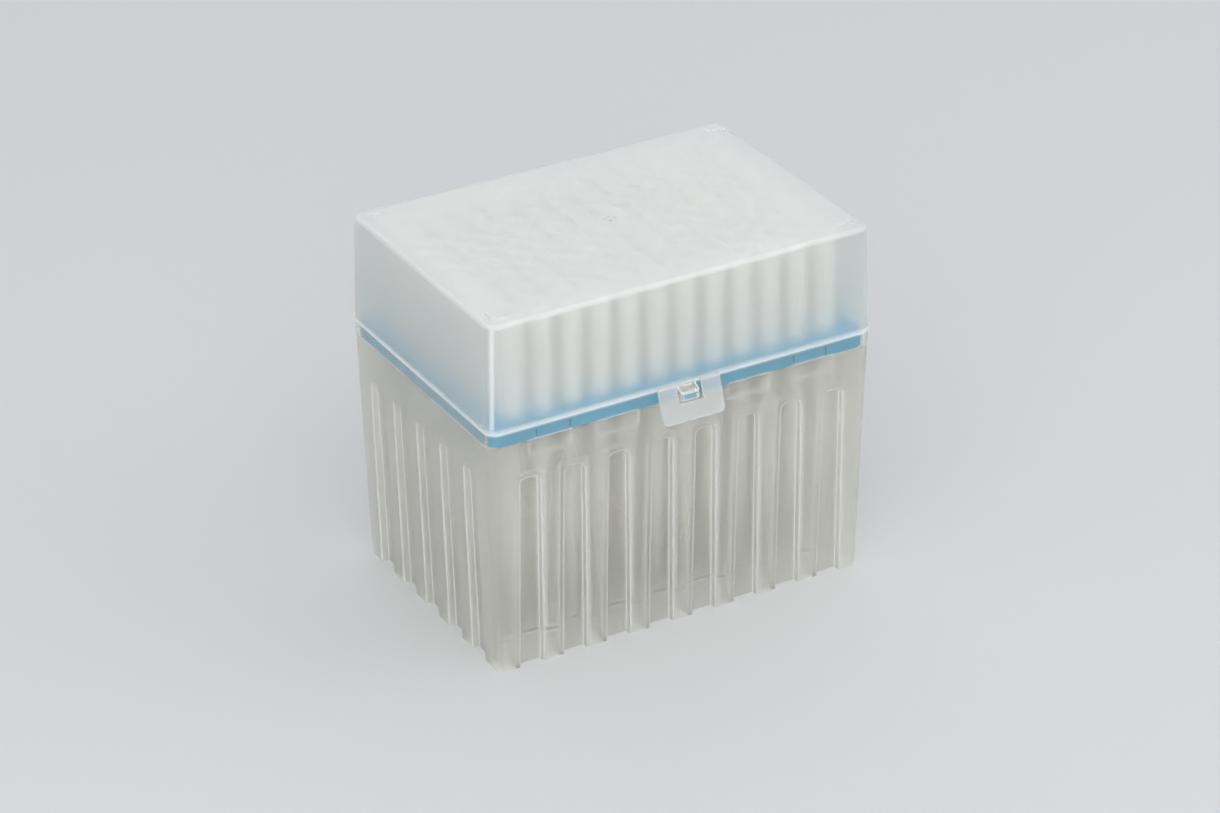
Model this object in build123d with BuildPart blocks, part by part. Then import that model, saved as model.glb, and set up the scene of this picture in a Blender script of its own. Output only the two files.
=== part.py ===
"""Box of 96 pipette tips: fluted tub, rack plate, hinged lid with a snap latch, and the tips.

Frame: millimetres, +Z up, X along the long sides, the latch on the -Y side.
The origin is on the standing plane, in the middle of the tub.
"""

from build123d import *
from math import hypot
import os

os.makedirs("parts", exist_ok=True)

# ---------------------------------------------------------------- driving dimensions

# The rack's grid of tips; it sets the length and width of everything around it
tip_pitch = 9.0
tip_columns = 12
tip_rows = 8

# Tip: its head stands above its seat on the rack plate, and its tail hangs below
tip_head_height = 30.6
tip_tail_length = 64.0
tip_seat_radius = 3.3
tip_head_draft = 0.12
tip_rim_step = 0.05
tip_rim_height = 2.0
tip_neck_drop = 18.0
tip_neck_radius = 2.75
tip_shank_drop = 36.0
tip_shank_radius = 2.35
tip_end_radius = 0.62
tip_wall = 0.6
tip_end_wall = 0.27
tip_fins = 8
tip_fin_bearing = 0.43
tip_fin_width = 0.5
tip_socket_flare = 0.35

# Rack plate
plate_end_margin = 5.75
plate_side_margin = 3.85
plate_thickness = 1.6
plate_skirt_height = 4.5
plate_skirt_wall = 1.2
plate_corner_radius = 4.0
plate_edge_round = 0.4
plate_below_rim = 0.1
collar_height = 3.0
collar_wall = 0.65
snap_tab_pitch = 82.0
snap_tab_width = 10.5
snap_tab_slit = 0.5

# Tub
tub_wall = 1.2
tub_corner_radius = 3.5
tub_end_taper = 2.05
tub_side_taper = 1.3
tub_foot_round = 0.7
floor_underside = 9.0
floor_thickness = 1.2
seat_pad_bearing = 1.05
seat_pad_height = 4.8
seat_pad_length = 13.0
seat_pad_pitch = 21.0
end_pad_length = 24.0
end_pad_pitch = 37.0

# Flutes pressed into the tub's walls, open at the foot and closed at the top
flute_pitch = 13.9
flute_corner_margin = 4.0
flute_below_rim = 15.9
flute_foot_width = 7.4
flute_top_width = 6.2
flute_depth = 2.3
flute_top_depth = 2.0
flute_arch = 1.8
flute_edge_round = 0.5

# Lid
lid_wall = 1.2
lid_end_taper = 0.9
lid_side_taper = 0.25
lid_top_round = 1.4
bead_height = 1.5
bead_proud = 0.35
stack_rib_side_arm = 5.0
stack_rib_end_arm = 3.6
stack_rib_side_inset = 4.6
stack_rib_end_inset = 3.0
stack_rib_width = 1.1
stack_rib_height = 0.6
gate_radius = 1.9
gate_depth = 0.4
gate_nub_radius = 0.6

# Hinges on the back: a hook on the tub clasps a pin held between two cheeks of the lid
hinge_spacing = 72.0
hinge_height = 4.0
pin_radius = 1.25
hook_wall = 1.05
hook_width = 7.0
hook_snap = 0.5
hook_mouth_angle = 50.0
hook_heel_drop = 2.75
hook_stem_drop = 11.0
cheek_thickness = 2.0
cheek_wall = 0.65
cheek_root_height = 3.8

# Snap latch on the front: a flap hung from the lid, with a window for the tub's catch
latch_width = 19.6
latch_thickness = 1.1
latch_reach = 2.0
latch_drop = 10.2
latch_flare = 3.4
latch_corner_radius = 1.6
latch_shoulder_round = 0.9
latch_axis_reach = 0.7
window_width = 7.9
window_drop = 5.6
window_corner_radius = 0.5
catch_ramp_drop = 1.4
catch_ledge = 0.35
catch_edge = 0.6
catch_below_rim = 0.1

# Cutters run this far past the faces they open
overcut = 1.0

# Fits
plate_gap = 0.25
tip_gap = 0.12
tip_end_room = 2.1
tip_head_room = 1.0
lid_gap = 0.1
pin_gap = 0.08
hook_gap = 0.32
cheek_gap = 0.3
barrel_gap = 0.08
catch_gap = 0.6
catch_side_gap = 1.05
catch_bite = 0.45

# ---------------------------------------------------------------- derived places

grid_length = tip_columns * tip_pitch
grid_width = tip_rows * tip_pitch
plate_length = grid_length + 2 * plate_end_margin
plate_width = grid_width + 2 * plate_side_margin
rim_x = plate_length / 2 + plate_gap + tub_wall
rim_y = plate_width / 2 + plate_gap + tub_wall

floor_top = floor_underside + floor_thickness
plate_top = floor_top + tip_end_room + tip_tail_length
skirt_bottom = plate_top - plate_skirt_height
tub_height = plate_top + plate_below_rim
flute_height = tub_height - flute_below_rim
lid_bottom = tub_height + lid_gap
lid_top = plate_top + tip_head_height + tip_head_room + lid_wall
lid_height = lid_top - lid_bottom

tip_head_radius = tip_seat_radius + tip_head_draft
hole_radius = tip_seat_radius + tip_gap
tip_fin_radius = hole_radius + tip_fin_bearing
tip_rim_radius = tip_fin_radius + tip_rim_step
tip_spots_x = [tip_pitch * (column - (tip_columns - 1) / 2) for column in range(tip_columns)]
tip_spots_y = [tip_pitch * (row - (tip_rows - 1) / 2) for row in range(tip_rows)]

hook_radius = pin_radius + pin_gap + hook_wall
hook_mouth = 2 * pin_radius - hook_snap
cheek_radius = pin_radius + cheek_wall
hinge_y = rim_y + bead_proud + hook_gap + hook_radius
hinge_z = tub_height + hinge_height
hinge_centres = (-hinge_spacing / 2, hinge_spacing / 2)
cheek_offset = hook_width / 2 + cheek_gap + cheek_thickness / 2

latch_barrel_radius = latch_thickness / 2
latch_axis_y = -(rim_y + latch_axis_reach)
latch_axis_z = lid_bottom + bead_height / 2
latch_top = latch_axis_z + latch_barrel_radius
latch_bottom = latch_top - latch_drop
latch_slab = latch_thickness * hypot(latch_flare, latch_drop) / latch_drop
window_bottom = latch_top - window_drop
catch_width = window_width - 2 * catch_side_gap
catch_top = tub_height - catch_below_rim
catch_bottom = window_bottom + catch_gap


def tub_half(z):
    """Half length and half width of the tub's outer wall at height z."""
    down = 1 - z / tub_height
    return rim_x - tub_end_taper * down, rim_y - tub_side_taper * down


def flap_y(z):
    """Y of the latch flap's outer face at height z."""
    return -(rim_y + latch_reach) - latch_flare * (latch_top - z) / latch_drop


def spread(room, width, pitch):
    """Centres of as many features of a width as fit in a room, a pitch apart about the middle."""
    count = int((room - width) / pitch) + 1
    return [pitch * (i - (count - 1) / 2) for i in range(count)]


def around(turns, spots):
    """Places for a feature made on the -Y side, repeated on the sides that the turns give."""
    return [Location((0, 0, 0), (0, 0, turn)) * Location(spot) for turn in turns for spot in spots]


sides = (0, 180)
ends = (90, 270)
foot_x, foot_y = tub_half(0)
side_flutes, end_flutes = (
    [(middle, 0, 0) for middle in spread(2 * (half - flute_corner_margin), flute_foot_width, flute_pitch)]
    for half in (foot_x, foot_y)
)


# ---------------------------------------------------------------- flute tools


def flute_tool(wall_foot, wall_rim, grow):
    """One flute facing -Y at X = 0: the groove, or, grown by a wall's thickness, its inner side."""
    top = flute_height + grow
    wall_top = wall_foot + (wall_rim - wall_foot) * top / tub_height
    out = -tub_wall / 2 if grow else overcut
    sections = (
        (0, wall_foot, flute_foot_width / 2 + grow, flute_depth + grow),
        (top, wall_top, flute_top_width / 2 + grow, flute_top_depth + grow),
    )
    with BuildPart() as tool:
        for z, wall, half, depth in sections:
            with BuildSketch(Plane.XY.offset(z)):
                with Locations((0, -wall - out)):
                    Rectangle(2 * half, depth + out, align=(Align.CENTER, Align.MIN))
        loft(ruled=True)
        fillet(tool.edges().filter_by(Axis.Y, tolerance=0.1).group_by(Axis.Z)[-1], flute_arch)
    return tool.part


def opens_through_wall(edge):
    """True for the long edges where a flute's sides meet the outer wall."""
    middle = edge.center()
    half_x, half_y = tub_half(middle.Z)
    on_wall = min(abs(half_x - abs(middle.X)), abs(half_y - abs(middle.Y))) < flute_edge_round / 10
    return on_wall and flute_height / 2 < edge.length < flute_height


flute_sets = (
    (around(sides, side_flutes), flute_tool(foot_y, rim_y, tub_wall), flute_tool(foot_y, rim_y, 0)),
    (around(ends, end_flutes), flute_tool(foot_x, rim_x, tub_wall), flute_tool(foot_x, rim_x, 0)),
)


# ---------------------------------------------------------------- tub

with BuildPart() as base_tub:
    # Outer form, tapering to the foot
    for z in (0, tub_height):
        with BuildSketch(Plane.XY.offset(z)):
            RectangleRounded(2 * tub_half(z)[0], 2 * tub_half(z)[1], tub_corner_radius)
    loft(ruled=True)
    fillet(base_tub.faces().sort_by(Axis.Z)[0].edges(), tub_foot_round)

    # Room above the floor for the tips, and the hollow skirt under it
    for low, high in ((floor_top, tub_height), (0, floor_underside)):
        for z in (low, high):
            with BuildSketch(Plane.XY.offset(z)):
                half_x, half_y = tub_half(z)
                RectangleRounded(
                    2 * (half_x - tub_wall), 2 * (half_y - tub_wall), tub_corner_radius - tub_wall
                )
        loft(ruled=True, mode=Mode.SUBTRACT)

    # Flutes: the wall is carried round behind each groove
    for places, pad, groove in flute_sets:
        with Locations(*places):
            add(pad)
        with Locations(*places):
            add(groove, mode=Mode.SUBTRACT)

    fillet(base_tub.edges().filter_by(opens_through_wall), flute_edge_round)

    # Pads inside the wall, which carry the rack plate's skirt; none stand behind the latch
    pad_depth = tub_wall / 2 + plate_gap + seat_pad_bearing
    side_pads = [(seat_pad_pitch * i, tub_wall / 2 - rim_y, skirt_bottom) for i in (-2, -1, 1, 2)]
    end_pads = [(end_pad_pitch * i, tub_wall / 2 - rim_x, skirt_bottom) for i in (-0.5, 0.5)]
    for turns, spots, length in ((sides, side_pads, seat_pad_length), (ends, end_pads, end_pad_length)):
        with Locations(*around(turns, spots)):
            Box(length, pad_depth, seat_pad_height, align=(Align.CENTER, Align.MIN, Align.MAX))

    # Catch for the latch: a ramp on top, and a flat ledge below that holds the flap's window
    catch_nose = flap_y(window_bottom) + latch_slab - catch_bite
    with BuildSketch(Plane.YZ.offset(-catch_width / 2)):
        with BuildLine():
            Polyline(
                (-rim_y + tub_wall / 2, catch_top),
                (-rim_y - catch_ledge, catch_top),
                (catch_nose, catch_top - catch_ramp_drop),
                (catch_nose, catch_bottom),
                (-rim_y + tub_wall / 2, catch_bottom),
                close=True,
            )
        make_face()
    extrude(amount=catch_width)
    chamfer(base_tub.edges().filter_by(Axis.Z).group_by(Axis.Y)[0], catch_edge)

    # Hinge hooks: a ring on a gusset, open at the top so that the lid's pin snaps in
    for centre in hinge_centres:
        with BuildSketch(Plane.YZ.offset(centre - hook_width / 2)):
            with BuildLine():
                Polyline(
                    (rim_y - tub_wall / 2, catch_top),
                    (hinge_y - hook_radius, catch_top),
                    (hinge_y - hook_radius, hinge_z),
                    (hinge_y + hook_radius, hinge_z),
                    (hinge_y + hook_radius, tub_height - hook_heel_drop),
                    (rim_y - tub_wall / 2, tub_height - hook_stem_drop),
                    close=True,
                )
            make_face()
            with Locations((hinge_y, hinge_z)):
                Circle(hook_radius)
                Circle(pin_radius + pin_gap, mode=Mode.SUBTRACT)
                Rectangle(
                    2 * hook_radius,
                    hook_mouth,
                    rotation=hook_mouth_angle,
                    align=(Align.MIN, Align.CENTER),
                    mode=Mode.SUBTRACT,
                )
        extrude(amount=hook_width)

base_tub.part.label = "base_tub"
export_step(base_tub.part, "parts/base_tub.step")


# ---------------------------------------------------------------- rack plate

with BuildPart() as rack_plate:
    with BuildSketch(Plane.XY.offset(plate_top)):
        RectangleRounded(plate_length, plate_width, plate_corner_radius)
    extrude(amount=-plate_skirt_height)
    fillet(rack_plate.faces().sort_by(Axis.Z)[-1].edges(), plate_edge_round)
    with BuildSketch(Plane.XY.offset(plate_top - plate_thickness)):
        RectangleRounded(
            plate_length - 2 * plate_skirt_wall,
            plate_width - 2 * plate_skirt_wall,
            plate_corner_radius - plate_skirt_wall,
        )
    extrude(amount=-plate_skirt_height, mode=Mode.SUBTRACT)

    # A hole for each tip, with a collar under it that keeps the tip upright
    with BuildSketch(Plane.XY.offset(plate_top - plate_thickness)):
        with GridLocations(tip_pitch, tip_pitch, tip_columns, tip_rows):
            Circle(hole_radius + collar_wall)
    extrude(amount=-collar_height)
    with BuildSketch(Plane.XY.offset(plate_top)):
        with GridLocations(tip_pitch, tip_pitch, tip_columns, tip_rows):
            Circle(hole_radius)
    extrude(amount=-plate_thickness - collar_height, mode=Mode.SUBTRACT)

    # Slits in the long skirts, each pair freeing a tab that springs as the plate snaps in
    slits = [
        (tab + side * snap_tab_width / 2, -plate_width / 2 - overcut, skirt_bottom - overcut)
        for tab in (-snap_tab_pitch / 2, snap_tab_pitch / 2)
        for side in (-1, 1)
    ]
    with Locations(*around(sides, slits)):
        Box(
            snap_tab_slit,
            overcut + plate_skirt_wall + overcut,
            overcut + plate_skirt_height - plate_thickness,
            align=(Align.CENTER, Align.MIN, Align.MIN),
            mode=Mode.SUBTRACT,
        )

rack_plate.part.label = "rack_plate"
export_step(rack_plate.part, "parts/rack_plate.step")


# ---------------------------------------------------------------- lid

with BuildPart() as lid:
    # Outer form, with a bead round its rim
    for z, narrower in ((lid_bottom, 0), (lid_top, 1)):
        with BuildSketch(Plane.XY.offset(z)):
            RectangleRounded(
                2 * (rim_x - lid_end_taper * narrower),
                2 * (rim_y - lid_side_taper * narrower),
                tub_corner_radius,
            )
    loft(ruled=True)
    fillet(lid.faces().sort_by(Axis.Z)[-1].edges(), lid_top_round)
    with BuildSketch(Plane.XY.offset(lid_bottom)):
        RectangleRounded(
            2 * (rim_x + bead_proud), 2 * (rim_y + bead_proud), tub_corner_radius + bead_proud
        )
    extrude(amount=bead_height)

    # Cheeks and pins of the hinges, on the back
    for centre in hinge_centres:
        for side in (-1, 1):
            with BuildSketch(Plane.YZ.offset(centre + side * cheek_offset - cheek_thickness / 2)):
                with BuildLine():
                    Polyline(
                        (rim_y - lid_wall / 2, hinge_z - cheek_radius),
                        (hinge_y, hinge_z - cheek_radius),
                        (hinge_y, hinge_z + cheek_radius),
                        (rim_y - lid_wall / 2, hinge_z + cheek_root_height),
                        close=True,
                    )
                make_face()
                with Locations((hinge_y, hinge_z)):
                    Circle(cheek_radius)
            extrude(amount=cheek_thickness)
        with Locations(Location((centre, hinge_y, hinge_z), (0, 90, 0))):
            Cylinder(pin_radius, 2 * cheek_offset)

    # Room inside for the heads of the tips
    for z, narrower in ((lid_bottom, 0), (lid_top - lid_wall, 1 - lid_wall / lid_height)):
        with BuildSketch(Plane.XY.offset(z)):
            RectangleRounded(
                2 * (rim_x - lid_end_taper * narrower - lid_wall),
                2 * (rim_y - lid_side_taper * narrower - lid_wall),
                tub_corner_radius - lid_wall,
            )
    loft(ruled=True, mode=Mode.SUBTRACT)

    # Groove in the bead, where the latch turns
    with Locations(Location((0, latch_axis_y, latch_axis_z), (0, 90, 0))):
        Cylinder(latch_barrel_radius + barrel_gap, latch_width + 2 * barrel_gap, mode=Mode.SUBTRACT)

    # Raised angle ribs near the corners of the top, which stand inside the foot of a box above
    rib_x = rim_x - lid_end_taper - stack_rib_end_inset
    rib_y = rim_y - lid_side_taper - stack_rib_side_inset
    with BuildSketch(Plane.XY.offset(lid_top)):
        for end, align_x in ((-1, Align.MIN), (1, Align.MAX)):
            for side, align_y in ((-1, Align.MIN), (1, Align.MAX)):
                with Locations((end * rib_x, side * rib_y)):
                    Rectangle(stack_rib_side_arm, stack_rib_width, align=(align_x, align_y))
                    Rectangle(stack_rib_width, stack_rib_end_arm, align=(align_x, align_y))
    extrude(amount=stack_rib_height)

    # Dimple and nub left by the gate, in the middle of the top
    with BuildSketch(Plane.XY.offset(lid_top)):
        Circle(gate_radius)
        Circle(gate_nub_radius, mode=Mode.SUBTRACT)
    extrude(amount=-gate_depth, mode=Mode.SUBTRACT)

lid.part.label = "lid"
export_step(lid.part, "parts/lid.step")


# ---------------------------------------------------------------- latch

with BuildPart() as latch_tab:
    # Side view: a barrel at the lid, a shoulder over the tub's rim and a flap flared outwards
    with BuildSketch(Plane.YZ.offset(-latch_width / 2)) as side_view:
        with BuildLine():
            Polyline(
                (latch_axis_y, latch_top),
                (flap_y(latch_top), latch_top),
                (flap_y(latch_bottom), latch_bottom),
                (flap_y(latch_bottom) + latch_slab, latch_bottom),
                (flap_y(latch_top - latch_thickness) + latch_slab, latch_top - latch_thickness),
                (latch_axis_y, latch_top - latch_thickness),
                close=True,
            )
        make_face()
        fillet(side_view.vertices().group_by(Axis.Y)[-1].sort_by(Axis.X)[0], latch_shoulder_round)
        with Locations((latch_axis_y, latch_axis_z)):
            Circle(latch_barrel_radius)
    extrude(amount=latch_width)

    # Front view: rounded lower corners, and a window between two arms
    with BuildSketch(Plane.XZ) as front_view:
        with Locations((0, latch_top)):
            Rectangle(latch_width, latch_drop, align=(Align.CENTER, Align.MAX))
            fillet(front_view.vertices().group_by(Axis.Y)[0], latch_corner_radius)
            Rectangle(window_width, window_drop, align=(Align.CENTER, Align.MAX), mode=Mode.SUBTRACT)
        fillet(
            front_view.vertices().filter_by_position(
                Axis.Y, window_bottom - window_corner_radius, window_bottom + window_corner_radius
            ),
            window_corner_radius,
        )
    extrude(amount=2 * rim_y, both=True, mode=Mode.INTERSECT)

latch_tab.part.label = "latch_tab"
export_step(latch_tab.part, "parts/latch_tab.step")


# ---------------------------------------------------------------- tips

# One tip about the Z axis, its seat at z = 0: radius and height down the outside, then up the bore
tip_outline = (
    (tip_rim_radius, tip_head_height),
    (tip_rim_radius, tip_head_height - tip_rim_height),
    (tip_head_radius, tip_head_height - tip_rim_height),
    (tip_seat_radius, 0),
    (tip_neck_radius, -tip_neck_drop),
    (tip_shank_radius, -tip_shank_drop),
    (tip_end_radius, -tip_tail_length),
    (tip_end_radius - tip_end_wall, -tip_tail_length),
    (tip_shank_radius - tip_wall, -tip_shank_drop),
    (tip_neck_radius - tip_wall, -tip_neck_drop),
    (tip_seat_radius - tip_wall, 0),
    (tip_head_radius - tip_wall, tip_head_height - tip_rim_height),
    (tip_head_radius - tip_wall + tip_socket_flare, tip_head_height),
)

with BuildPart() as tip:
    with BuildSketch(Plane.XZ):
        with BuildLine():
            Polyline(*tip_outline, close=True)
        make_face()
    revolve(axis=Axis.Z)

    # Fins round the head; their lower ends stand on the rack plate
    with PolarLocations(tip_head_radius - tip_wall / 2, tip_fins):
        Box(
            tip_fin_radius - tip_head_radius + tip_wall / 2,
            tip_fin_width,
            tip_head_height - tip_rim_height,
            align=(Align.MIN, Align.CENTER, Align.MIN),
        )

for number, x in enumerate(tip_spots_x, start=1):
    with BuildPart() as tips_column:
        with Locations(*[(x, y, plate_top) for y in tip_spots_y]):
            add(tip.part)
    tips_column.part.label = f"tips_column_{number:02d}"
    export_step(tips_column.part, f"parts/tips_column_{number:02d}.step")
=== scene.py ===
"""Looks of a box of 96 pipette tips: frosted tub and lid, blue rack plate, milky tips.

Metres, +Z up, X along the long sides, the latch on the -Y side. The lid, the latch flap and
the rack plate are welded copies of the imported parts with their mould's soft edges. The tub
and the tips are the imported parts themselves, which have their rounds already.
"""

from __future__ import annotations

import logging
import math
from collections.abc import Callable
from dataclasses import dataclass
from enum import Enum

import bmesh
import bpy
from mathutils import Matrix, Vector

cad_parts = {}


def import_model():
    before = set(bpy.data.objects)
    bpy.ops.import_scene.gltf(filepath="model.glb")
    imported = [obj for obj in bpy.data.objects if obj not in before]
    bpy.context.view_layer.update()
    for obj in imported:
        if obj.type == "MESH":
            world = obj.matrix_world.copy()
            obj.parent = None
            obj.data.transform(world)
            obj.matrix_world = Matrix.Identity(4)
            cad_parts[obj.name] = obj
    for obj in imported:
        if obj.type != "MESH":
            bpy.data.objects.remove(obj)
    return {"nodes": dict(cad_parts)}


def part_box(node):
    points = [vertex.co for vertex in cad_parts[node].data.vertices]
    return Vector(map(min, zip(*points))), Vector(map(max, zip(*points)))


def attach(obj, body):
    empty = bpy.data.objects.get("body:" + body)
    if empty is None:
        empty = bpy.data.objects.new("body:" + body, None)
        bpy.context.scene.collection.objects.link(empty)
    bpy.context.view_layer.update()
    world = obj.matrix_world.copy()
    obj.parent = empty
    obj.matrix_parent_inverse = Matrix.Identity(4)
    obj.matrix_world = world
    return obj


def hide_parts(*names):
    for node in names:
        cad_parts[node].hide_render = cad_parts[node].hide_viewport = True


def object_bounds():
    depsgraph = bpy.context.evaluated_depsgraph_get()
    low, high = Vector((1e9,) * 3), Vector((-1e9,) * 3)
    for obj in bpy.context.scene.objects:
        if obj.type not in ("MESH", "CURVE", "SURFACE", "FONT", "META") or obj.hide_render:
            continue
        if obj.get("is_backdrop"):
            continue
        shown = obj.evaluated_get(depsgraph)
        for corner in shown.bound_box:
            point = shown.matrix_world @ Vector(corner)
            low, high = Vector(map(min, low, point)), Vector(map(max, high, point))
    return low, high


log = logging.getLogger("tip_box")

Triple = tuple[float, float, float]
Colour = Triple
Output = bpy.types.NodeSocket


class Body(Enum):
    """The moving bodies of the box."""

    BASE = "base"
    LID = "lid"
    LATCH = "latch"


class Slot(Enum):
    """The record's material slots, which each copied part names; its finish comes from its own
    Moulding.
    """

    RACK = "rack"
    LID = "lid"


def srgb(red: int, green: int, blue: int) -> Colour:
    """Turns an 8-bit display colour into the linear one that shaders use.

    Args:
        red: Red, 0 to 255.
        green: Green, 0 to 255.
        blue: Blue, 0 to 255.

    Returns:
        The linear colour.
    """

    def linear(level: int) -> float:
        """Undoes the display curve of one channel."""
        share = level / 255
        return share / 12.92 if share <= 0.04045 else ((share + 0.055) / 1.055) ** 2.4

    return linear(red), linear(green), linear(blue)


# ---------------------------------------------------------------- node trees


class Sheet:
    """A node tree being drawn up, with short calls that place and join its nodes."""

    def __init__(self, tree: bpy.types.NodeTree) -> None:
        """Starts from an empty tree."""
        self.tree = tree
        tree.nodes.clear()

    def add(self, kind: str, **settings: object) -> bpy.types.Node:
        """Places a node and sets its properties.

        Args:
            kind: The node's type, such as ShaderNodeMix.
            **settings: Properties of the node, by name.

        Returns:
            The new node.
        """
        count = len(self.tree.nodes)
        node = self.tree.nodes.new(kind)
        node.location = (220 * (count % 8), -300 * (count // 8))
        for name, value in settings.items():
            setattr(node, name, value)
        return node

    def feed(self, socket: bpy.types.NodeSocket, value: object) -> None:
        """Joins an output to a socket, or sets the socket's own value.

        Args:
            socket: The input to feed.
            value: An output socket, a number, a vector or a colour.
        """
        if isinstance(value, bpy.types.NodeSocket):
            self.tree.links.new(value, socket)
        elif socket.type == "RGBA":
            socket.default_value = (*value[:3], 1.0)
        else:
            socket.default_value = value

    def sum(self, operation: str, first: object, second: object = 0.0) -> Output:
        """Works out one number from two.

        Args:
            operation: The Math node's operation.
            first: The first number or output.
            second: The second number or output.

        Returns:
            The result's output.
        """
        node = self.add("ShaderNodeMath", operation=operation)
        self.feed(node.inputs[0], first)
        self.feed(node.inputs[1], second)
        return node.outputs[0]

    def span(
        self, value: object, start: float, end: float, low: float = 0.0, high: float = 1.0
    ) -> Output:
        """Maps the stretch from start to end onto low to high, eased, and held beyond both.

        Args:
            value: The number to map.
            start: Where the stretch begins.
            end: Where it ends.
            low: The result up to start.
            high: The result from end on.

        Returns:
            The mapped number's output.
        """
        node = self.add("ShaderNodeMapRange", interpolation_type="SMOOTHSTEP")
        limits = {"From Min": start, "From Max": end, "To Min": low, "To Max": high}
        for name, number in {"Value": value, **limits}.items():
            self.feed(node.inputs[name], number)
        return node.outputs["Result"]

    def blend(self, share: object, first: object, second: object) -> Output:
        """Mixes two colours.

        Args:
            share: How much of the second shows.
            first: The colour at 0.
            second: The colour at 1.

        Returns:
            The mixed colour's output.
        """
        node = self.add("ShaderNodeMix", data_type="RGBA")
        # Sockets 6 and 7 and output 2 are the node's colours; their names aren't unique
        self.feed(node.inputs[0], share)
        self.feed(node.inputs[6], first)
        self.feed(node.inputs[7], second)
        return node.outputs[2]

    def either(self, share: Output, first: Output, second: Output) -> Output:
        """Mixes two shaders.

        Args:
            share: How much of the second shows.
            first: The shader at 0.
            second: The shader at 1.

        Returns:
            The mixed shader's output.
        """
        mix = self.add("ShaderNodeMixShader")
        self.feed(mix.inputs["Fac"], share)
        self.feed(mix.inputs[1], first)
        self.feed(mix.inputs[2], second)
        return mix.outputs["Shader"]

    def noise(self, where: object, scale: object, detail: float = 2.0) -> Output:
        """Places cloudy noise.

        Args:
            where: The coordinates.
            scale: Its scale, in cycles a metre.
            detail: How many finer layers it has.

        Returns:
            The noise's number.
        """
        node = self.add("ShaderNodeTexNoise", noise_dimensions="3D")
        self.feed(node.inputs["Vector"], where)
        self.feed(node.inputs["Scale"], scale)
        self.feed(node.inputs["Detail"], detail)
        return node.outputs[0]

    def stretched(
        self, where: object, scale: Triple, turn: Triple = (0.0, 0.0, 0.0)
    ) -> Output:
        """Scales and turns coordinates.

        Args:
            where: The coordinates.
            scale: The factor along each axis.
            turn: The turn about each axis, in radians.

        Returns:
            The new coordinates.
        """
        node = self.add("ShaderNodeMapping")
        self.feed(node.inputs["Vector"], where)
        node.inputs["Rotation"].default_value = turn
        node.inputs["Scale"].default_value = scale
        return node.outputs["Vector"]


# ---------------------------------------------------------------- shared effects


class Effect:
    """A shader node group, built once and placed in each finish with its own values."""

    name = "effect"
    takes: dict[str, float] = {}
    gives: dict[str, str] = {}

    def draw(self, sheet: Sheet, given: bpy.types.Node) -> dict[str, Output]:
        """Draws the group's nodes.

        Args:
            sheet: The group's tree.
            given: The group's input node.

        Returns:
            An output for each name in gives.
        """
        raise NotImplementedError

    def tree(self) -> bpy.types.NodeTree:
        """The group's tree, built at the first call."""
        known = bpy.data.node_groups.get(self.name)
        if known:
            return known
        tree = bpy.data.node_groups.new(self.name, "ShaderNodeTree")
        tree.interface.new_socket("Place", in_out="INPUT", socket_type="NodeSocketVector")
        for name, value in self.takes.items():
            socket = tree.interface.new_socket(name, in_out="INPUT", socket_type="NodeSocketFloat")
            socket.default_value = value
        for name, kind in self.gives.items():
            tree.interface.new_socket(name, in_out="OUTPUT", socket_type=kind)
        sheet = Sheet(tree)
        made = self.draw(sheet, sheet.add("NodeGroupInput"))
        end = sheet.add("NodeGroupOutput")
        for name, output in made.items():
            sheet.feed(end.inputs[name], output)
        return tree

    def place(self, sheet: Sheet, where: object, **values: float) -> bpy.types.Node:
        """Places the group in a finish.

        Args:
            sheet: The finish's tree.
            where: The coordinates that it works on.
            **values: Its values, by input name in lower case with _ for a space.

        Returns:
            The group node.
        """
        node = sheet.add("ShaderNodeGroup", node_tree=self.tree())
        sheet.feed(node.inputs["Place"], where)
        for name, value in values.items():
            sheet.feed(node.inputs[name.replace("_", " ").title()], value)
        return node


class SparkGrain(Effect):
    """The fine satin texture that a spark-eroded mould leaves."""

    name = "spark_grain"
    takes = {"Scale": 2600.0, "Depth": 1.0}
    gives = {"Height": "NodeSocketFloat", "Satin": "NodeSocketFloat"}
    coarser = 0.31
    satin_span = (0.3, 0.7)

    def draw(self, sheet: Sheet, given: bpy.types.Node) -> dict[str, Output]:
        """Draws pits of two sizes.

        Args:
            sheet: The group's tree.
            given: The group's input node.

        Returns:
            The height, and a satin mask that follows the coarser pits.
        """
        place, scale = given.outputs["Place"], given.outputs["Scale"]
        fine = sheet.noise(place, scale, 1.0)
        coarse = sheet.noise(place, sheet.sum("MULTIPLY", scale, self.coarser), 2.0)
        both = sheet.sum("ADD", fine, coarse)
        height = sheet.sum("MULTIPLY", both, given.outputs["Depth"])
        return {"Height": height, "Satin": sheet.span(coarse, *self.satin_span)}


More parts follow.
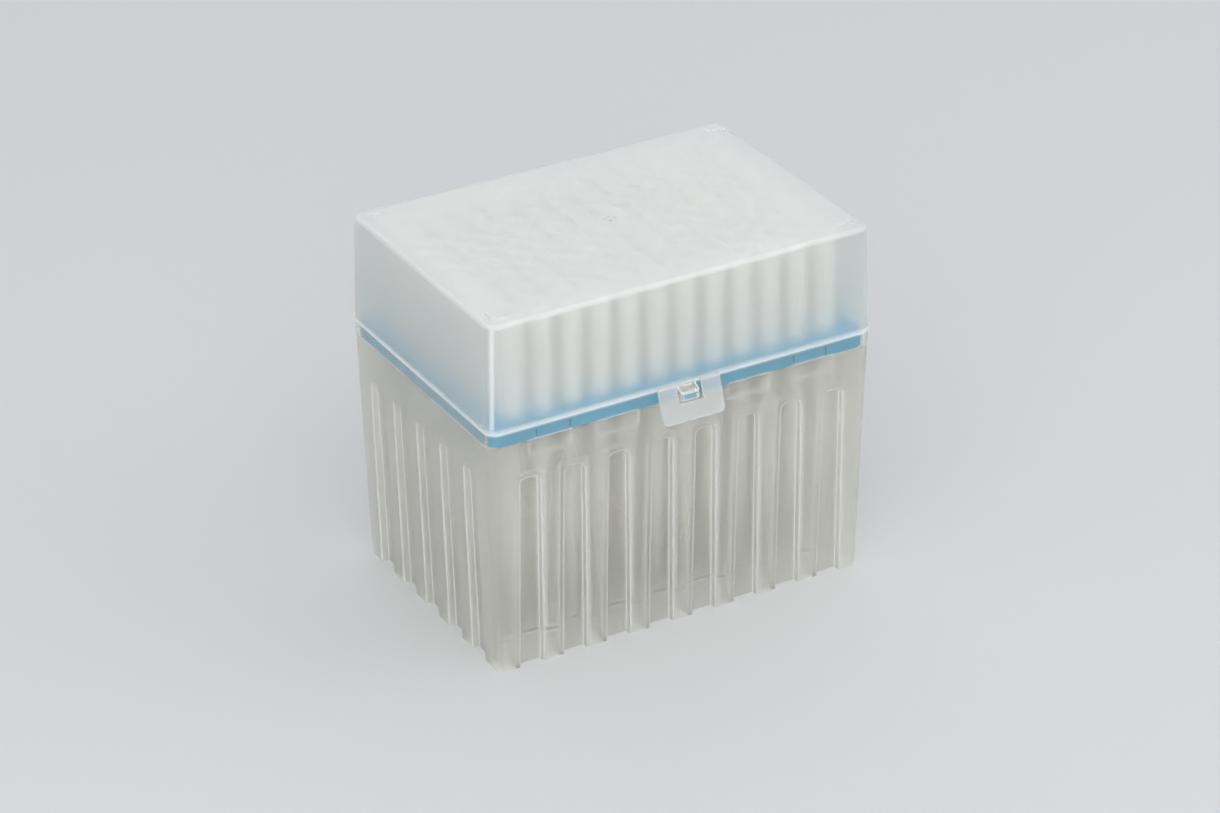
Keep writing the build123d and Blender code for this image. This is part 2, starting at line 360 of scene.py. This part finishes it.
class FlowHaze(Effect):
    """Cloudy bands that run the way the melt filled the mould."""

    name = "flow_haze"
    takes = {"Scale": 22.0, "Streak": 0.22}
    gives = {"Cloud": "NodeSocketFloat", "Streaks": "NodeSocketFloat"}
    finer = 9.0
    cloud_span = (0.32, 0.68)
    streak_span = (0.3, 0.7)

    def draw(self, sheet: Sheet, given: bpy.types.Node) -> dict[str, Output]:
        """Draws broad clouds and finer upright streaks.

        Args:
            sheet: The group's tree.
            given: The group's input node.

        Returns:
            The clouds' and the streaks' masks.
        """
        place, scale = given.outputs["Place"], given.outputs["Scale"]
        cloud = sheet.noise(place, scale, 3.0)
        shape = sheet.add("ShaderNodeCombineXYZ")
        shape.inputs["X"].default_value = shape.inputs["Y"].default_value = 1.0
        sheet.feed(shape.inputs["Z"], given.outputs["Streak"])
        long_way = sheet.add("ShaderNodeVectorMath", operation="MULTIPLY")
        sheet.feed(long_way.inputs[0], place)
        sheet.feed(long_way.inputs[1], shape.outputs[0])
        fine = sheet.sum("MULTIPLY", scale, self.finer)
        streaks = sheet.noise(long_way.outputs[0], fine, 3.0)
        return {
            "Cloud": sheet.span(cloud, *self.cloud_span),
            "Streaks": sheet.span(streaks, *self.streak_span),
        }


class Handling(Effect):
    """Hairline scratches and faint rubbed patches from being handled and stacked."""

    name = "handling"
    takes = {"Scale": 60.0, "Amount": 1.0}
    gives = {"Scratches": "NodeSocketFloat", "Rubs": "NodeSocketFloat"}
    strokes = (
        ((0.3, 0.9, 0.5), (16.0, 900.0, 900.0)),
        ((1.1, 0.2, 2.0), (1100.0, 22.0, 1100.0)),
    )
    stroke_span = (0.73, 0.8)
    broken_span = (0.4, 0.6)
    rub_span = (0.52, 0.72)

    def draw(self, sheet: Sheet, given: bpy.types.Node) -> dict[str, Output]:
        """Draws two crossing sets of scratches, broken up by patches.

        Args:
            sheet: The group's tree.
            given: The group's input node.

        Returns:
            The scratches' and the rubbed patches' masks.
        """
        place, amount = given.outputs["Place"], given.outputs["Amount"]
        patches = sheet.noise(place, given.outputs["Scale"], 3.0)
        rubs = sheet.span(patches, *self.rub_span)
        lines: object = 0.0
        for turn, stretch in self.strokes:
            strokes = sheet.noise(sheet.stretched(place, stretch, turn), 1.0, 0.0)
            lines = sheet.sum("MAXIMUM", lines, sheet.span(strokes, *self.stroke_span))
        broken = sheet.sum("MULTIPLY", lines, sheet.span(patches, *self.broken_span))
        return {
            "Scratches": sheet.sum("MULTIPLY", broken, amount),
            "Rubs": sheet.sum("MULTIPLY", rubs, amount),
        }


# ---------------------------------------------------------------- finishes


@dataclass(frozen=True)
class Moulding:
    """A moulded plastic, clear, frosted or coloured right through.

    rough_band is where up the piece its roughness starts to change, where that ends, and the
    roughness' share from there on. edge_turn is the cosine at which an edge starts to whiten
    and the one at which it is whitest; that whitening is partly the thicker plastic there and
    partly a painted highlight. lets_lamps_in is the share of the lamps' light that passes,
    and 0 leaves that to the shader.
    """

    name: str
    pale: Colour
    deep: Colour
    roughness: float
    clear: float = 0.0
    ior: float = 1.49
    satin: float = 0.08
    grain_scale: float = 2600.0
    grain_depth: float = 0.00002
    haze_scale: float = 22.0
    haze_streak: float = 0.22
    streaks: float = 0.35
    wear_scale: float = 60.0
    wear: float = 1.0
    scratch_roughness: float = 0.18
    rub_roughness: float = 0.05
    bloom: float = 0.0
    bloom_spread: float = 0.4
    glow_through: float = 0.0
    glow_depth: float = 0.002
    rough_band: tuple[float, float, float] | None = None
    # The edge settings below whiten the edges: partly the thicker plastic there, partly a painted
    # highlight.
    edge_milk_highlight: float = 0.0
    edge_reach: float = 0.0011
    edge_turn: tuple[float, float] = (0.985, 0.85)
    edge_highlight_tone: Colour = (0.95, 0.95, 0.94)
    edge_roughness: float = 0.5
    lets_lamps_in: float = 0.0

    def material(self) -> bpy.types.Material:
        """The Blender material, built at the first call."""
        known = bpy.data.materials.get(self.name)
        if known:
            return known
        made = bpy.data.materials.new(self.name)
        made.use_nodes = True
        sheet = Sheet(made.node_tree)
        place = sheet.add("ShaderNodeTexCoord").outputs["Object"]
        grain = SparkGrain().place(sheet, place, scale=self.grain_scale)
        haze = FlowHaze().place(sheet, place, scale=self.haze_scale, streak=self.haze_streak)
        wear = Handling().place(sheet, place, scale=self.wear_scale, amount=self.wear)

        skin = self.skin(sheet)
        sheet.feed(skin.inputs["Base Color"], self.tone(sheet, haze))
        sheet.feed(skin.inputs["Roughness"], self.roughness_map(sheet, place, grain, wear))
        relief = sheet.add("ShaderNodeBump")
        relief.inputs["Strength"].default_value = 1.0
        relief.inputs["Distance"].default_value = self.grain_depth
        cut = sheet.sum("SUBTRACT", grain.outputs["Height"], wear.outputs["Scratches"])
        sheet.feed(relief.inputs["Height"], cut)
        sheet.feed(skin.inputs["Normal"], relief.outputs["Normal"])

        end = sheet.add("ShaderNodeOutputMaterial")
        surface = skin.outputs["BSDF"]
        # Whitened edges: partly thicker plastic, partly a painted highlight.
        if self.edge_milk_highlight:
            surface = self.milky_highlit_edges(sheet, surface, relief.outputs["Normal"])
        if self.lets_lamps_in:
            surface = self.open_to_lamps(sheet, surface)
        sheet.feed(end.inputs["Surface"], surface)
        return made

    def skin(self, sheet: Sheet) -> bpy.types.Node:
        """Places the shader, with the values that are the same all over.

        Args:
            sheet: The material's tree.

        Returns:
            The shader's node.
        """
        skin = sheet.add("ShaderNodeBsdfPrincipled")
        skin.inputs["IOR"].default_value = self.ior
        skin.inputs["Transmission Weight"].default_value = self.clear
        skin.inputs["Sheen Weight"].default_value = self.bloom
        skin.inputs["Sheen Roughness"].default_value = self.bloom_spread
        skin.inputs["Subsurface Weight"].default_value = self.glow_through
        skin.inputs["Subsurface Radius"].default_value = (1.0, 1.0, 1.0)
        skin.inputs["Subsurface Scale"].default_value = self.glow_depth
        return skin

    def tone(self, sheet: Sheet, haze: bpy.types.Node) -> Output:
        """Mixes the colour from its pale and deep tones by the flow haze.

        Args:
            sheet: The material's tree.
            haze: The flow haze's node.

        Returns:
            The colour.
        """
        banded = sheet.sum("MULTIPLY", haze.outputs["Streaks"], self.streaks)
        clouded = sheet.sum("MULTIPLY", haze.outputs["Cloud"], 1 - self.streaks)
        return sheet.blend(sheet.sum("ADD", clouded, banded), self.deep, self.pale)

    def roughness_map(
        self, sheet: Sheet, place: Output, grain: bpy.types.Node, wear: bpy.types.Node
    ) -> Output:
        """Works out the roughness from the grain, the marks of handling and the height.

        Args:
            sheet: The material's tree.
            place: The object's coordinates.
            grain: The spark grain's node.
            wear: The handling's node.

        Returns:
            The roughness.
        """
        least, most = self.roughness - self.satin / 2, self.roughness + self.satin / 2
        rough = sheet.span(grain.outputs["Satin"], 0, 1, least, most)
        for marks, share in (("Scratches", self.scratch_roughness), ("Rubs", self.rub_roughness)):
            rough = sheet.sum("ADD", rough, sheet.sum("MULTIPLY", wear.outputs[marks], share))
        if self.rough_band:
            start, end, share = self.rough_band
            height = sheet.add("ShaderNodeSeparateXYZ")
            sheet.feed(height.inputs[0], place)
            band = sheet.span(height.outputs["Z"], start, end, 1.0, share)
            rough = sheet.sum("MULTIPLY", rough, band)
        return rough

    def open_to_lamps(self, sheet: Sheet, surface: Output) -> Output:
        """Lets the lamps shine straight through the plastic onto what it holds.

        Args:
            sheet: The material's tree.
            surface: The plastic's shader.

        Returns:
            The shader, clear for the lamps' own rays.
        """
        ray = sheet.add("ShaderNodeLightPath")
        clear = sheet.add("ShaderNodeBsdfTransparent")
        sheet.feed(clear.inputs["Color"], (self.lets_lamps_in,) * 3)
        return sheet.either(ray.outputs["Is Shadow Ray"], surface, clear.outputs["BSDF"])

    def milky_highlit_edges(self, sheet: Sheet, clear_part: Output, normal: Output) -> Output:
        """Whitens the plastic where two of its walls meet, partly since more of it lies behind
        there and partly as a painted highlight along the edges.

        Args:
            sheet: The material's tree.
            clear_part: The shader of the open faces.
            normal: The grain's normal.

        Returns:
            The shader with its edges whitened.
        """
        level = sheet.add("ShaderNodeNewGeometry")
        eased = sheet.add("ShaderNodeBevel", samples=4)
        eased.inputs["Radius"].default_value = self.edge_reach
        turned = sheet.add("ShaderNodeVectorMath", operation="DOT_PRODUCT")
        sheet.feed(turned.inputs[0], level.outputs["Normal"])
        sheet.feed(turned.inputs[1], eased.outputs["Normal"])
        flat, sharp = self.edge_turn
        edges = sheet.span(turned.outputs["Value"], flat, sharp, 0.0, self.edge_milk_highlight)
        # A near-white diffuse shader at the edges: partly thicker plastic, partly a painted
        # highlight.
        milk = sheet.add("ShaderNodeBsdfPrincipled")
        milk.inputs["Base Color"].default_value = (*self.edge_highlight_tone, 1.0)
        milk.inputs["Roughness"].default_value = self.edge_roughness
        sheet.feed(milk.inputs["Normal"], normal)
        return sheet.either(edges, clear_part, milk.outputs["BSDF"])

    def dress(self, piece: bpy.types.Object) -> None:
        """Gives a piece this finish in all of its material slots.

        Args:
            piece: A mesh object.
        """
        if not piece.material_slots:
            piece.data.materials.append(self.material())
        for place in piece.material_slots:
            place.material = self.material()


# ---------------------------------------------------------------- shaping


@dataclass(frozen=True)
class Zone:
    """A box of space, in metres. A side that isn't given is open."""

    low: Triple = (-1.0, -1.0, -1.0)
    high: Triple = (1.0, 1.0, 1.0)

    def holds(self, point: Vector) -> bool:
        """True if the point is in the zone."""
        return all(a <= p <= b for a, p, b in zip(self.low, point, self.high))


@dataclass(frozen=True)
class SoftEdges:
    """The small rounds that a mould leaves on sharp edges."""

    radius: float
    steps: int = 2
    least_turn: float = 32.0
    least_length: float = 0.0
    within: tuple[Zone, ...] = (Zone(),)
    without: tuple[Zone, ...] = ()
    weld: float = 0.000002
    flat_turn: float = 1.0
    smooth_turn: float = 38.0

    def copy_of(self, node: bpy.types.Object, name: str) -> bpy.types.Object:
        """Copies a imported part's mesh, welds it and rounds its edges.

        Args:
            node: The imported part.
            name: The new piece's name.

        Returns:
            The new piece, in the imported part's place.
        """
        piece = bpy.data.objects.new(name, node.data.copy())
        piece.data.name = name
        bpy.context.scene.collection.objects.link(piece)
        pick(piece)
        bpy.ops.object.mode_set(mode="EDIT")
        bpy.ops.mesh.select_all(action="SELECT")
        bpy.ops.mesh.customdata_custom_splitnormals_clear()
        bpy.ops.mesh.remove_doubles(threshold=self.weld)
        bpy.ops.mesh.dissolve_limited(angle_limit=math.radians(self.flat_turn))
        bpy.ops.object.mode_set(mode="OBJECT")
        self.round_off(piece)
        return piece

    def takes(self, edge: bmesh.types.BMEdge) -> bool:
        """True for a sharp edge in one of the zones that are rounded, and in none that stay."""
        if not edge.is_manifold or edge.calc_face_angle(0.0) < math.radians(self.least_turn):
            return False
        ends = [corner.co for corner in edge.verts]
        return (
            edge.calc_length() >= self.least_length
            and any(all(zone.holds(end) for end in ends) for zone in self.within)
            and not any(zone.holds(end) for zone in self.without for end in ends)
        )

    def round_off(self, piece: bpy.types.Object) -> None:
        """Rounds the piece's sharp edges and shades it smooth up to them.

        Args:
            piece: A welded, closed piece.
        """
        pick(piece)
        bpy.ops.object.mode_set(mode="EDIT")
        bpy.ops.mesh.select_mode(type="EDGE")
        bpy.ops.mesh.select_all(action="DESELECT")
        mesh = bmesh.from_edit_mesh(piece.data)
        for edge in mesh.edges:
            edge.select_set(self.takes(edge))
        bmesh.update_edit_mesh(piece.data)
        bpy.ops.mesh.bevel(offset=self.radius, segments=self.steps, clamp_overlap=False)
        bpy.ops.object.mode_set(mode="OBJECT")
        bpy.ops.object.shade_smooth_by_angle(angle=math.radians(self.smooth_turn))
        level = piece.modifiers.new("level", "WEIGHTED_NORMAL")
        level.keep_sharp = True
        bpy.ops.object.modifier_apply(modifier=level.name)


def pick(piece: bpy.types.Object) -> None:
    """Selects one object alone and makes it the active one."""
    bpy.ops.object.select_all(action="DESELECT")
    piece.select_set(True)
    bpy.context.view_layer.objects.active = piece


# ---------------------------------------------------------------- the parts of the box


@dataclass
class Part:
    """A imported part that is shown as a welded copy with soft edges."""

    node: str
    piece: str
    body: Body
    slot: Slot
    edges: SoftEdges
    finish: Moulding

    def build(self, nodes: dict[str, bpy.types.Object]) -> bpy.types.Object:
        """Makes the piece, dresses it and hangs it on its body.

        Args:
            nodes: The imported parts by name.

        Returns:
            The piece.
        """
        made = self.edges.copy_of(nodes[self.node], self.piece)
        self.finish.dress(made)
        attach(made, self.body.value)
        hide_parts(self.node)
        return made


@dataclass
class AsPacked:
    """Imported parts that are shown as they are, all those whose names start alike."""

    prefix: str
    finish: Moulding

    def build(self, nodes: dict[str, bpy.types.Object]) -> None:
        """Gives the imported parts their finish.

        Args:
            nodes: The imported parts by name.
        """
        for name in sorted(nodes):
            if name.startswith(self.prefix):
                self.finish.dress(nodes[name])


@dataclass
class Tub(AsPacked):
    """The fluted tub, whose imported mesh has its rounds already."""

    prefix: str = "base_tub"
    finish: Moulding = Moulding(
        name="frosted_tub",
        pale=srgb(249, 249, 244),
        deep=srgb(246, 246, 240),
        roughness=0.5,
        clear=0.93,
        ior=1.45,
        bloom=0.25,
        rough_band=(0.0712, 0.0722, 0.25),
        # Whitened edges: partly thicker plastic, partly a painted highlight.
        edge_milk_highlight=0.9,
        edge_reach=0.0012,
        lets_lamps_in=0.87,
    )


@dataclass
class RackPlate(Part):
    """The blue plate that the tips hang in."""

    node: str = "rack_plate"
    piece: str = "tip_rack"
    body: Body = Body.BASE
    slot: Slot = Slot.RACK
    edges: SoftEdges = SoftEdges(radius=0.00012)
    finish: Moulding = Moulding(
        name="blue_rack",
        pale=srgb(0, 160, 204),
        deep=srgb(0, 150, 192),
        roughness=0.4,
    )


@dataclass
class Lid(Part):
    """The lid, whose bead, rounds, upright corners and roof look whiter than its walls: the thick
    edges partly for their thicker plastic and partly as a painted highlight, the roof as a
    painted haze of the light from above.

    Both reaches are measured down from the lid's highest point. A face whose normal's height is
    under wall_lean belongs to a wall, and one over roof_lean to the roof.
    """

    node: str = "lid"
    piece: str = "lid_shell"
    body: Body = Body.LID
    slot: Slot = Slot.LID
    edges: SoftEdges = SoftEdges(
        radius=0.00015,
        least_length=0.0003,
        without=(
            Zone(low=(-0.044, 0.0405, 0.0), high=(-0.028, 1.0, 1.0)),  # left hinge
            Zone(low=(0.028, 0.0405, 0.0), high=(0.044, 1.0, 1.0)),  # right hinge
            Zone(low=(-0.0115, -1.0, 0.0), high=(0.0115, -0.0405, 1.0)),  # latch groove
        ),
    )
    finish: Moulding = Moulding(
        name="hazy_lid",
        pale=srgb(250, 251, 249),
        deep=srgb(245, 249, 248),
        roughness=0.46,
        clear=0.9,
        ior=1.45,
        bloom=0.25,
        rough_band=(0.1072, 0.1078, 1.3),
        lets_lamps_in=0.93,
    )
    # Whiter finish of the bead, rounds and upright corners: partly thicker plastic, partly a
    # painted highlight.
    rim_highlight_finish: Moulding = Moulding(
        name="milky_rim_highlight",
        pale=srgb(252, 252, 251),
        deep=srgb(249, 250, 249),
        roughness=0.34,
        clear=0.6,
        ior=1.45,
        bloom=0.5,
        lets_lamps_in=0.93,
    )
    # Milkier finish of the roof: a painted haze standing for the light on the lid's top.
    roof_painted_haze_finish: Moulding = Moulding(
        name="frosted_roof_painted_haze",
        pale=srgb(241, 242, 240),
        deep=srgb(235, 238, 237),
        roughness=0.55,
        clear=0.5,
        ior=1.45,
        lets_lamps_in=0.93,
    )
    bead: float = 0.0015
    round_reach: float = 0.00182
    roof_reach: float = 0.0014
    corner_middle: float = 45.0
    corner_spread: float = 11.0
    wall_lean: float = 0.2
    roof_lean: float = 0.98

    def build(self, nodes: dict[str, bpy.types.Object]) -> bpy.types.Object:
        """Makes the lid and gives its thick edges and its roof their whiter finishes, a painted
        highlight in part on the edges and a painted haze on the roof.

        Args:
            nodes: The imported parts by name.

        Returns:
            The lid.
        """
        made = super().build(nodes)
        low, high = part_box(self.node)
        # Thick edges take a whiter finish, partly a painted highlight; the roof takes a painted
        # haze.
        self.lay(made, self.rim_highlight_finish, lambda face: self.on_highlit_thick_edge(face, low[2], high[2]))
        self.lay(made, self.roof_painted_haze_finish, lambda face: self.on_roof(face, high[2]))
        return made

    def lay(
        self,
        made: bpy.types.Object,
        finish: Moulding,
        chosen: Callable[[bmesh.types.BMFace], bool],
    ) -> None:
        """Gives some of the lid's faces another finish.

        Args:
            made: The lid.
            finish: The finish of those faces.
            chosen: Says of a face whether it is one of them.
        """
        made.data.materials.append(finish.material())
        pick(made)
        bpy.ops.object.mode_set(mode="EDIT")
        bpy.ops.mesh.select_mode(type="FACE")
        bpy.ops.mesh.select_all(action="DESELECT")
        mesh = bmesh.from_edit_mesh(made.data)
        for face in mesh.faces:
            face.select_set(chosen(face))
        bmesh.update_edit_mesh(made.data)
        made.active_material_index = len(made.data.materials) - 1
        bpy.ops.object.material_slot_assign()
        bpy.ops.object.mode_set(mode="OBJECT")

    def on_highlit_thick_edge(self, face: bmesh.types.BMFace, bottom: float, top: float) -> bool:
        """True for a face of the bead, of the top's round or along the middle of an upright corner.

        Args:
            face: A face of the lid.
            bottom: The height of the lid's lower edge.
            top: The height of its top.

        Returns:
            Whether the wall is thickest there, where the whiter finish is partly a painted
            highlight.
        """
        height, facing = face.calc_center_median().z, face.normal
        if abs(facing.z) < self.wall_lean:
            corner = math.degrees(math.atan2(abs(facing.y), abs(facing.x)))
            upright = abs(corner - self.corner_middle) < self.corner_spread
            return height < bottom + self.bead or upright
        rounded = self.wall_lean < facing.z < self.roof_lean
        return rounded and height > top - self.round_reach

    def on_roof(self, face: bmesh.types.BMFace, top: float) -> bool:
        """True for a face of the roof's upper side, which the tips' heads almost touch; it takes
        the painted haze.
        """
        level = face.normal.z > self.roof_lean
        return level and face.calc_center_median().z > top - self.roof_reach


@dataclass
class Latch(Part):
    """The latch flap, with its window for the tub's catch."""

    node: str = "latch_tab"
    piece: str = "latch_flap"
    body: Body = Body.LATCH
    slot: Slot = Slot.LID
    edges: SoftEdges = SoftEdges(radius=0.00018)
    finish: Moulding = Moulding(
        name="hazy_latch",
        pale=srgb(245, 247, 247),
        deep=srgb(239, 243, 243),
        roughness=0.34,
        clear=0.78,
        lets_lamps_in=0.93,
    )


@dataclass
class Tips(AsPacked):
    """The tips, in columns of eight."""

    prefix: str = "tips_column_"
    finish: Moulding = Moulding(
        name="milky_tips",
        pale=srgb(250, 248, 240),
        deep=srgb(246, 244, 236),
        roughness=0.4,
        wear=0.0,
        glow_through=0.8,
        glow_depth=0.004,
    )


# ---------------------------------------------------------------- studio


@dataclass
class Floor:
    """A plain pale floor."""

    half: float = 4.0
    tone: Colour = srgb(214, 215, 216)
    roughness: float = 0.9
    gloss: float = 0.1

    def build(self) -> None:
        """Lays the floor under the origin."""
        bpy.ops.object.select_all(action="DESELECT")
        bpy.ops.mesh.primitive_plane_add(size=2 * self.half, location=(0, 0, 0))
        floor = bpy.context.object
        floor.name = "studio_floor"
        made = bpy.data.materials.new("pale_floor")
        made.use_nodes = True
        skin = made.node_tree.nodes["Principled BSDF"]
        skin.inputs["Base Color"].default_value = (*self.tone, 1.0)
        skin.inputs["Roughness"].default_value = self.roughness
        skin.inputs["Specular IOR Level"].default_value = self.gloss
        floor.data.materials.append(made)
        floor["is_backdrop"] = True


@dataclass(frozen=True)
class Lamp:
    """One soft box: its place from the target and its size in metres, its power in watts."""

    name: str
    place: Triple
    size: float
    power: float
    tint: Colour = (1.0, 1.0, 1.0)

    def build(self, target: Vector) -> None:
        """Hangs the lamp and turns it to the target.

        Args:
            target: The point that it shines at.
        """
        lamp = bpy.data.lights.new(self.name, "AREA")
        lamp.shape = "SQUARE"
        lamp.size = self.size
        lamp.energy = self.power
        lamp.color = self.tint
        holder = bpy.data.objects.new(self.name, lamp)
        bpy.context.scene.collection.objects.link(holder)
        holder.location = target + Vector(self.place)
        holder.rotation_euler = (-Vector(self.place)).to_track_quat("-Z", "Y").to_euler()


@dataclass
class Studio:
    """Soft boxes and an even surround."""

    surround: Colour = srgb(235, 237, 240)
    level: float = 0.74
    lamps: tuple[Lamp, ...] = (
        Lamp("key_box", (-0.62, -0.88, 0.75), 1.4, 8.8),
        Lamp("fill_box", (0.85, -0.6, 0.75), 1.1, 2.8),
        Lamp("back_box", (0.3, 0.7, 1.0), 1.4, 2.3),
    )

    def build(self, target: Vector) -> None:
        """Sets the surround and hangs the lamps.

        Args:
            target: The middle of the box.
        """
        world = bpy.data.worlds.new("surround")
        bpy.context.scene.world = world
        world.use_nodes = True
        back = world.node_tree.nodes["Background"]
        back.inputs["Color"].default_value = (*self.surround, 1.0)
        back.inputs["Strength"].default_value = self.level
        for lamp in self.lamps:
            lamp.build(target)


@dataclass
class Viewpoint:
    """The camera: its bearing round the box, height and slight tilt in degrees, distance and
    aim in metres, lens and sensor in millimetres.
    """

    bearing: float = -29.565
    height: float = 28.704
    tilt: float = -0.539
    distance: float = 1.1988
    aim: Triple = (-0.000476, 0.0, 0.04977)
    lens: float = 124.02
    sensor: float = 36.0
    nearest: float = 0.05
    farthest: float = 20.0

    def build(self) -> None:
        """Places the camera and makes it the scene's."""
        around, up = math.radians(self.bearing), math.radians(self.height)
        level = math.cos(up)
        back = Vector((math.sin(around) * level, -math.cos(around) * level, math.sin(up)))
        right = Vector((0, 0, 1)).cross(back).normalized()
        upward = back.cross(right)
        axes = Matrix((right, upward, back)).transposed().to_4x4()
        camera = bpy.data.cameras.new("viewpoint")
        camera.lens, camera.sensor_width = self.lens, self.sensor
        camera.clip_start, camera.clip_end = self.nearest, self.farthest
        holder = bpy.data.objects.new("viewpoint", camera)
        bpy.context.scene.collection.objects.link(holder)
        turn = Matrix.Rotation(math.radians(self.tilt), 4, "Z")
        place = Matrix.Translation(Vector(self.aim) + back * self.distance)
        holder.matrix_world = place @ axes @ turn
        bpy.context.scene.camera = holder


# ---------------------------------------------------------------- assembly


def main() -> None:
    """Builds and dresses the box in order."""
    logging.basicConfig(level=logging.INFO, format="%(name)s: %(message)s")
    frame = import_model()
    nodes = frame["nodes"]
    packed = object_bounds()
    middle = (packed[0] + packed[1]) / 2

    Viewpoint().build()
    Studio().build(middle)
    Floor().build()
    for part in (Tub(), RackPlate(), Lid(), Latch(), Tips()):
        part.build(nodes)
        log.info("built %s", type(part).__name__)

    bpy.context.scene.view_settings.view_transform = "Standard"


if __name__ == "__main__":
    main()
